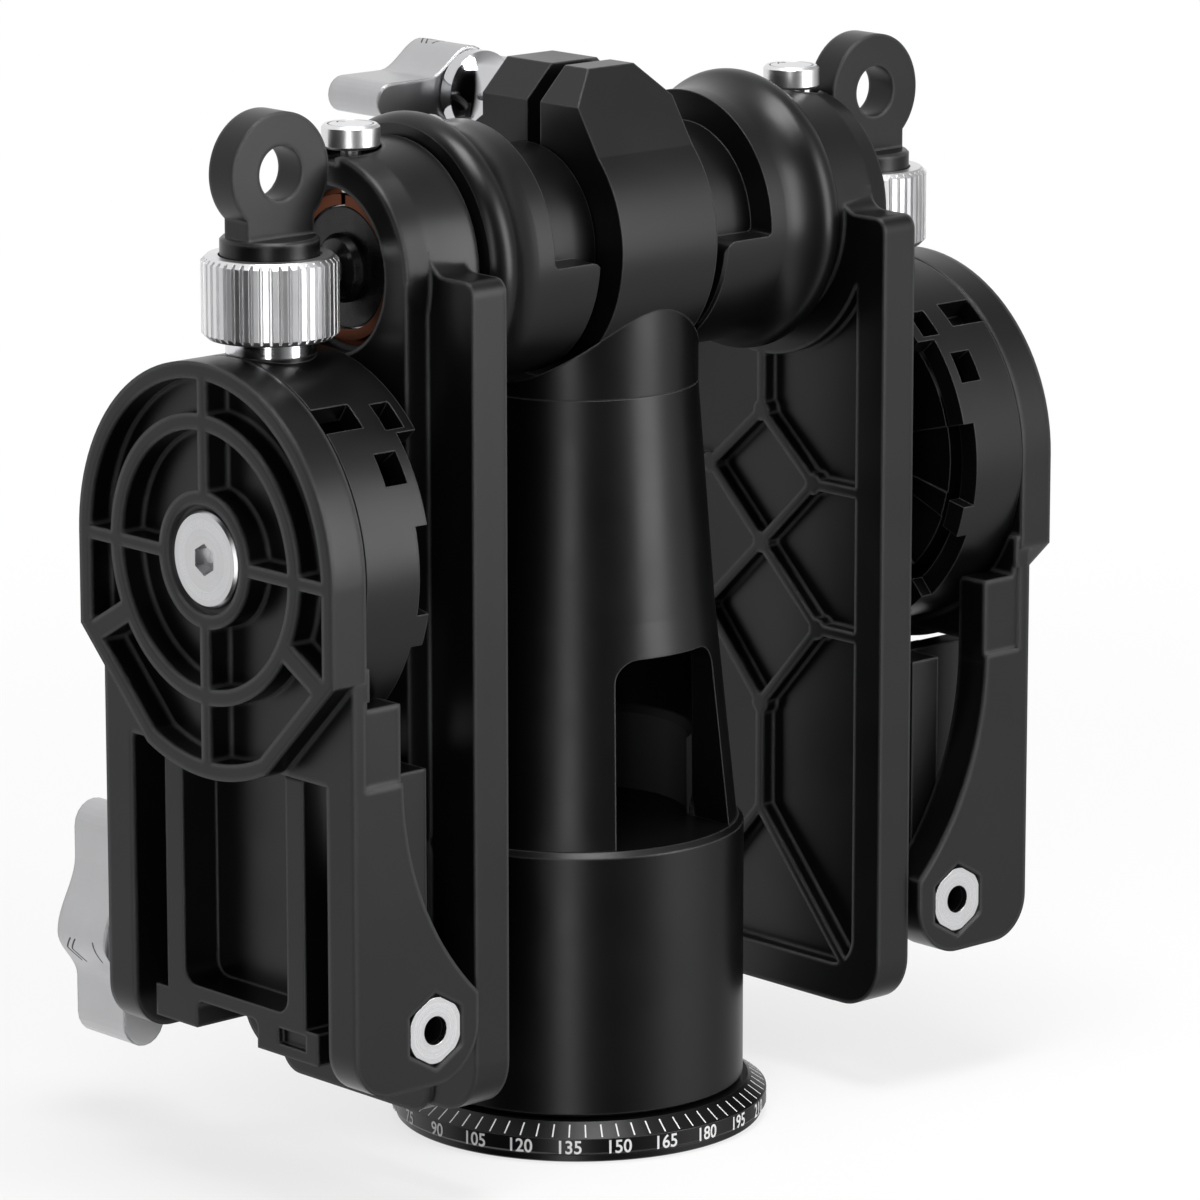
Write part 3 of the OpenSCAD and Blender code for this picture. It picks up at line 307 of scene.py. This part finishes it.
def paint(name, base, low, high):
    made = Shader(name, base, 0.0, 0.5)
    made.tint(made.noise(1500), low, high)
    made.bump(made.noise(4000, 1.0), 0.00001, 0.4)
    return made.mat


# The turned metals: the axis that they are turned about, roughness, base colour and the rest
KNOB = dict(axis=2, rough=(0.3, 0.36), base=(0.78, 0.78, 0.79), relief=0.0000015)
SHAFT = dict(axis=0, rough=(0.26, 0.36), base=(0.6, 0.6, 0.61))
COLLAR = dict(axis=1, rough=(0.07, 0.1), base=(0.6, 0.6, 0.62), relief=0.000001, radius=0.3)
STUD = dict(axis=1, rough=(0.4, 0.5), base=(0.05, 0.05, 0.052))
NUT = dict(axis=1, rough=(0.2, 0.3), base=(0.6, 0.6, 0.61))
LEVER = dict(axis=1, rough=(0.3, 0.38), base=(0.5, 0.5, 0.51), relief=0.000002, radius=0.8)
PLAIN = dict(axis=2, rough=(0.26, 0.36), base=(0.55, 0.55, 0.56))
METALS = {
    "drag_knob": KNOB, "index_cap": KNOB, "index_pin": KNOB, "drag_screw": KNOB,
    "knob_collar": dict(axis=2, rough=(0.1, 0.16), base=(0.74, 0.74, 0.76)),
    "tilt_bolt": SHAFT, "tilt_axle": SHAFT, "tilt_bearing": SHAFT, "cross_shaft": SHAFT,
    "lever_collar": COLLAR, "tee_collar": COLLAR,
    "hinge_pin": STUD, "lever_stud": STUD,
    "hinge_nuts": NUT, "tee_screw": NUT,
    "hinge_lever": LEVER, "tee_lever": LEVER,
    # The bush's bronze is painted very dark: painted shade of the recess it sits in
    "bush": dict(axis=0, rough=(0.34, 0.46), base=(0.12, 0.04, 0.02)),
}


def middle(name):
    low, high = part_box(name)
    return (low + high) / 2


blacks = {}


def finish_for(name):
    """The material of a CAD node, made for its own axis where it is turned."""
    kind = name.removeprefix("left_").removeprefix("right_")
    if kind in ("shaft_screw", "shaft_washer"):
        return oxide(name + "_oxide")
    if kind == "column":
        return column_finish()
    if kind in BLACK_EDGES:
        radius = BLACK_EDGES[kind]
        if radius not in blacks:
            made = black_anodised("black_anodised_" + str(round(radius * 100)), radius)
            blacks[radius] = made.mat
        return blacks[radius]
    metal = METALS.get(kind, PLAIN)
    centre = middle(name)
    if metal["axis"] == 0:
        centre.y = 0
    return turned(name + "_metal", centre, **metal)


white_mark = paint("white_mark", MARK_WHITE, 0.94, 1.05)
dark_mark = paint("dark_mark", MARK_GREY, 0.8, 1.3)
for name, obj in nodes.items():
    obj.data.materials.clear()
    obj.data.materials.append(finish_for(name))


# Marks, in mm: half of their thickness, which stands proud of the surface
MARK_T = 0.03


def mesh_piece(name, bm, mat, body):
    """A piece of its own on a body, from closed strips or letters."""
    data = bpy.data.meshes.new(name)
    bm.to_mesh(data)
    bm.free()
    data.materials.append(mat)
    obj = bpy.data.objects.new(name, data)
    scene.collection.objects.link(obj)
    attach(obj, body)


# The dial's rim: its radius, the band for the numbers, and the bevel for the ticks above it
DIAL_R, LIP_H, BAND_H, BEVEL_H, TOP_R = 35.0, 1.5, 4.6, 2.3, 31.6
# Ticks: degrees between two, their ends as shares of the bevel, and half of their width
TICK_STEP, TICK_START, TICK_END, TICK_HALF_W = 5, 0.1, 0.82, 0.13
# Numbers: degrees between two, height, extra weight, narrowing, where 0 stands, and the steps of
# their curves
NUMBER_STEP, NUMBER_SIZE, NUMBER_WEIGHT, NUMBER_WIDTH, NUMBER_ZERO = 15, 3.5, 0.055, 0.93, -270
NUMBER_CURVE_STEPS = 6


def dial_ticks():
    bm = bmesh.new()
    low = Vector((DIAL_R, BAND_H))
    run = Vector((TOP_R, BAND_H + BEVEL_H)) - low
    out = Vector((run.y, -run.x)).normalized()
    for step in range(0, 360, TICK_STEP):
        turn = math.radians(step)
        cross = Vector((-math.sin(turn), math.cos(turn), 0))
        corners = []
        for share in (TICK_START, TICK_END):
            for lift in (-MARK_T, MARK_T):
                q = low + run * share + out * lift
                at = Vector((q.x * math.cos(turn), q.x * math.sin(turn), q.y))
                corners += [bm.verts.new((at + cross * TICK_HALF_W * s) * MM) for s in (-1, 1)]
        a, b, c, d, e, f, g, h = corners
        sides = (a, b, d, c), (e, g, h, f), (c, d, h, g), (a, e, f, b), (a, c, g, e), (b, f, h, d)
        for face in sides:
            bm.faces.new(face)
    bmesh.ops.recalc_face_normals(bm, faces=bm.faces)
    mesh_piece("dial_ticks", bm, white_mark, "base")


def number_mesh(value):
    """A number's flat letters as a mesh, centred on x."""
    curve = bpy.data.curves.new("numeral", "FONT")
    curve.body = str(value)
    curve.size = NUMBER_SIZE
    curve.offset = NUMBER_WEIGHT
    curve.align_x = "CENTER"
    curve.resolution_u = NUMBER_CURVE_STEPS
    text = bpy.data.objects.new("numeral", curve)
    scene.collection.objects.link(text)
    bpy.context.view_layer.update()
    depsgraph = bpy.context.evaluated_depsgraph_get()
    made = bpy.data.meshes.new_from_object(text.evaluated_get(depsgraph))
    bpy.data.objects.remove(text)
    return made


def dial_numerals():
    """Numbers wrapped round the band of the rim."""
    bm = bmesh.new()
    r = DIAL_R + MARK_T
    middle_z = (LIP_H + BAND_H) / 2
    for value in range(0, 360, NUMBER_STEP):
        made = number_mesh(value)
        start = math.radians(value + NUMBER_ZERO)
        heights = [v.co.y for v in made.vertices]
        half_way = (min(heights) + max(heights)) / 2
        for v in made.vertices:
            turn = start + v.co.x * NUMBER_WIDTH / DIAL_R
            z = middle_z + v.co.y - half_way
            v.co = Vector((r * math.cos(turn), r * math.sin(turn), z)) * MM
        bm.from_mesh(made)
        bpy.data.meshes.remove(made)
    mesh_piece("dial_numerals", bm, white_mark, "base")


dial_ticks()
dial_numerals()


# Direction marks on the levers and caps: half of a stroke's width, the step at which it follows
# the surface, and how far out the surface is looked for
STROKE_HALF_W, STROKE_STEP, REACH = 0.15, 0.4, 30


def painted(name, node, body, lines, start, u, v, way):
    """Strips laid on a node: lines in mm along u and v from start, seen from way."""
    target = nodes[node]
    corners = [target.matrix_world @ vert.co for vert in target.data.vertices]
    faces = [tuple(face.vertices) for face in target.data.polygons]
    surface = BVHTree.FromPolygons(corners, faces)
    bm = bmesh.new()
    for a, b in lines:
        a, b = Vector(a), Vector(b)
        side = (b - a).orthogonal().normalized() * STROKE_HALF_W
        steps = max(1, math.ceil((b - a).length / STROKE_STEP))
        rows = []
        for i in range(steps + 1):
            at = a.lerp(b, i / steps)
            row = []
            for q in (at - side, at + side):
                above = start + (u * q.x + v * q.y + way * REACH) * MM
                point, normal, _, _ = surface.ray_cast(above, -way)
                row += [bm.verts.new(point + normal * lift * MM) for lift in (MARK_T, -MARK_T)]
            rows.append(row)
        for (a0, a1, b0, b1), (c0, c1, d0, d1) in zip(rows, rows[1:]):
            for face in ((a0, b0, d0, c0), (a1, c1, d1, b1), (a0, c0, c1, a1), (b0, b1, d1, d0)):
                bm.faces.new(face)
        for a0, a1, b0, b1 in (rows[0], rows[-1]):
            bm.faces.new((a0, a1, b1, b0))
    bmesh.ops.recalc_face_normals(bm, faces=bm.faces)
    mesh_piece(name, bm, dark_mark, body)


def chevrons(tips, depth, half_h):
    """Lines of chevrons that point along +u."""
    return [((tip, 0), (tip - depth, side * half_h)) for tip in tips for side in (-1, 1)]


# Two chevrons and a bent bar on each lever, and one chevron on each cap
LEVER_BAR = [((3.6, 2.8), (3.3, 0.8)), ((3.3, 0.8), (3.0, -1.3))]
LEVER_SIGNS = chevrons((12.3, 10.9), 2.1, 2.4) + LEVER_BAR
TEE_BAR = [((8.6, -1.6), (8.3, 0.2)), ((8.3, 0.2), (8.5, 1.9))]
TEE_SIGNS = chevrons((13, 11.7), 1.6, 1.8) + TEE_BAR
CAP_SIGN = chevrons((3.6,), 1.1, 0.9)
# How far below the stud the signs of a hinge lever lie
LEVER_SIGNS_DROP = 2.8
for side, outward in (("left", -X), ("right", X)):
    low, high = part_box(side + "_hinge_lever")
    stud = middle(side + "_lever_stud")
    painted(
        side + "_lever_signs", side + "_hinge_lever", side + "_lever", LEVER_SIGNS,
        Vector((stud.x, low.y, stud.z - LEVER_SIGNS_DROP * MM)), Y, Z, outward,
    )
    painted(
        side + "_cap_sign", side + "_index_cap", side + "_index", CAP_SIGN,
        middle(side + "_index_cap"), Y, X, Z,
    )
low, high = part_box("tee_lever")
painted(
    "tee_lever_signs", "tee_lever", "clamp_lever", TEE_SIGNS,
    Vector((0, low.y, middle("tee_screw").z)), Y, X, Z,
)


# Lamps: degrees to the right of the camera and up, distance, width, height, and power
LAMP_AIM = Vector((0, 0, 0.1))
LAMPS = (
    ("lamp_right", 67, 15, 1.0, 0.46, 0.86, 7.2),
    ("lamp_left", -7, 0, 1.1, 0.22, 1.3, 3.8),
    ("lamp_top", 10, 80, 0.9, 0.42, 0.4, 6.4),
)
for name, turn, rise, distance, width, height, power in LAMPS:
    way = from_front(AZIMUTH + math.radians(turn), math.radians(rise))
    lamp = bpy.data.lights.new(name, "AREA")
    lamp.shape = "RECTANGLE"
    lamp.size = width
    lamp.size_y = height
    lamp.energy = power
    obj = bpy.data.objects.new(name, lamp)
    scene.collection.objects.link(obj)
    obj.location = LAMP_AIM + way * distance
    obj.rotation_euler = (-way).to_track_quat("-Z", "Y").to_euler()


# The studio as gloss sees it: degrees to the right of the camera, and how white the wall is there
WALLS = (
    (-180, 0.95), (-88, 0.95), (-68, 0.0), (-30, 0.0), (25, 0.06), (48, 0.3), (70, 0.95),
    (90, 0.95), (108, 0.4), (125, 0.35), (150, 0.5), (180, 0.95),
)
WHITE = (1, 1, 1, 1)
FILL_LIGHT = 0.3


def studio(tree):
    """How white the wall is in the direction of a ray."""
    coords = tree.node("ShaderNodeTexCoord").outputs["Generated"]
    parts = [tree.vector_maths("DOT_PRODUCT", coords, axis) for axis in (right, right.cross(Z))]
    turn = tree.maths("ARCTAN2", *parts)
    place = tree.spread(turn, -math.pi, math.pi, 0, 1)
    ramp = tree.node("ShaderNodeValToRGB")
    stops = ramp.color_ramp.elements
    for _ in range(len(WALLS) - len(stops)):
        stops.new(0.5)
    for stop, (degrees, white) in zip(stops, WALLS):
        stop.position = (degrees + 180) / 360
        stop.color = (white, white, white, 1)
    tree.link(place, ramp.inputs["Fac"])
    return ramp.outputs["Color"]


def white_world():
    """White to the camera, the studio's walls to gloss, and a weak even light to the rest."""
    world = bpy.data.worlds.new("backdrop")
    scene.world = world
    world.use_nodes = True
    tree = Tree(world.node_tree)
    seen = world.node_tree.nodes["Background"]
    fill, walls = (tree.node("ShaderNodeBackground") for _ in range(2))
    for background, strength in ((seen, 1.0), (fill, FILL_LIGHT), (walls, 1.0)):
        background.inputs["Color"].default_value = WHITE
        background.inputs["Strength"].default_value = strength
    tree.link(studio(tree), walls.inputs["Color"])
    light = tree.mix_shaders(tree.ray_share("Is Glossy Ray"), fill.outputs[0], walls.outputs[0])
    direct = tree.ray_share("Is Camera Ray", "Is Transmission Ray")
    both = tree.mix_shaders(direct, light, seen.outputs[0])
    tree.link(both, world.node_tree.nodes["World Output"].inputs["Surface"])


# The floor: its radius, its corners, and its drop below the base so that the two faces never meet
FLOOR_R, FLOOR_CORNERS, FLOOR_DROP = 3.0, 96, 0.0001
# How much of the floor glows white to the camera, near and far, and where that changes
GLOW_NEAR, GLOW_FAR, GLOW_FROM, GLOW_TO = 0.74, 1.0, 0.1, 0.55


def floor_finish():
    """Matt pale grey, which fades into the white backdrop."""
    mat = bpy.data.materials.new("floor")
    mat.use_nodes = True
    tree = Tree(mat.node_tree)
    bsdf = mat.node_tree.nodes["Principled BSDF"]
    bsdf.inputs["Base Color"].default_value = (0.9, 0.9, 0.9, 1)
    bsdf.inputs["Roughness"].default_value = 0.9
    bsdf.inputs["Specular IOR Level"].default_value = 0.1
    glow = tree.node("ShaderNodeEmission")
    glow.inputs["Color"].default_value = WHITE
    direct = tree.ray_share("Is Camera Ray", "Is Transmission Ray")
    tree.link(direct, glow.inputs["Strength"])
    reach = tree.vector_maths("LENGTH", tree.node("ShaderNodeTexCoord").outputs["Object"])
    share = tree.spread(
        reach, GLOW_FROM, GLOW_TO, GLOW_NEAR, GLOW_FAR, interpolation_type="SMOOTHSTEP",
    )
    both = tree.mix_shaders(share, bsdf.outputs[0], glow.outputs[0])
    tree.link(both, mat.node_tree.nodes["Material Output"].inputs["Surface"])
    return mat


def floor():
    data = bpy.data.meshes.new("floor")
    bm = bmesh.new()
    bmesh.ops.create_circle(bm, cap_ends=True, segments=FLOOR_CORNERS, radius=FLOOR_R)
    bm.to_mesh(data)
    bm.free()
    data.materials.append(floor_finish())
    obj = bpy.data.objects.new("floor", data)
    obj.location = (0, 0, -FLOOR_DROP)
    obj.visible_glossy = False
    obj.visible_shadow = False
    scene.collection.objects.link(obj)


white_world()
floor()
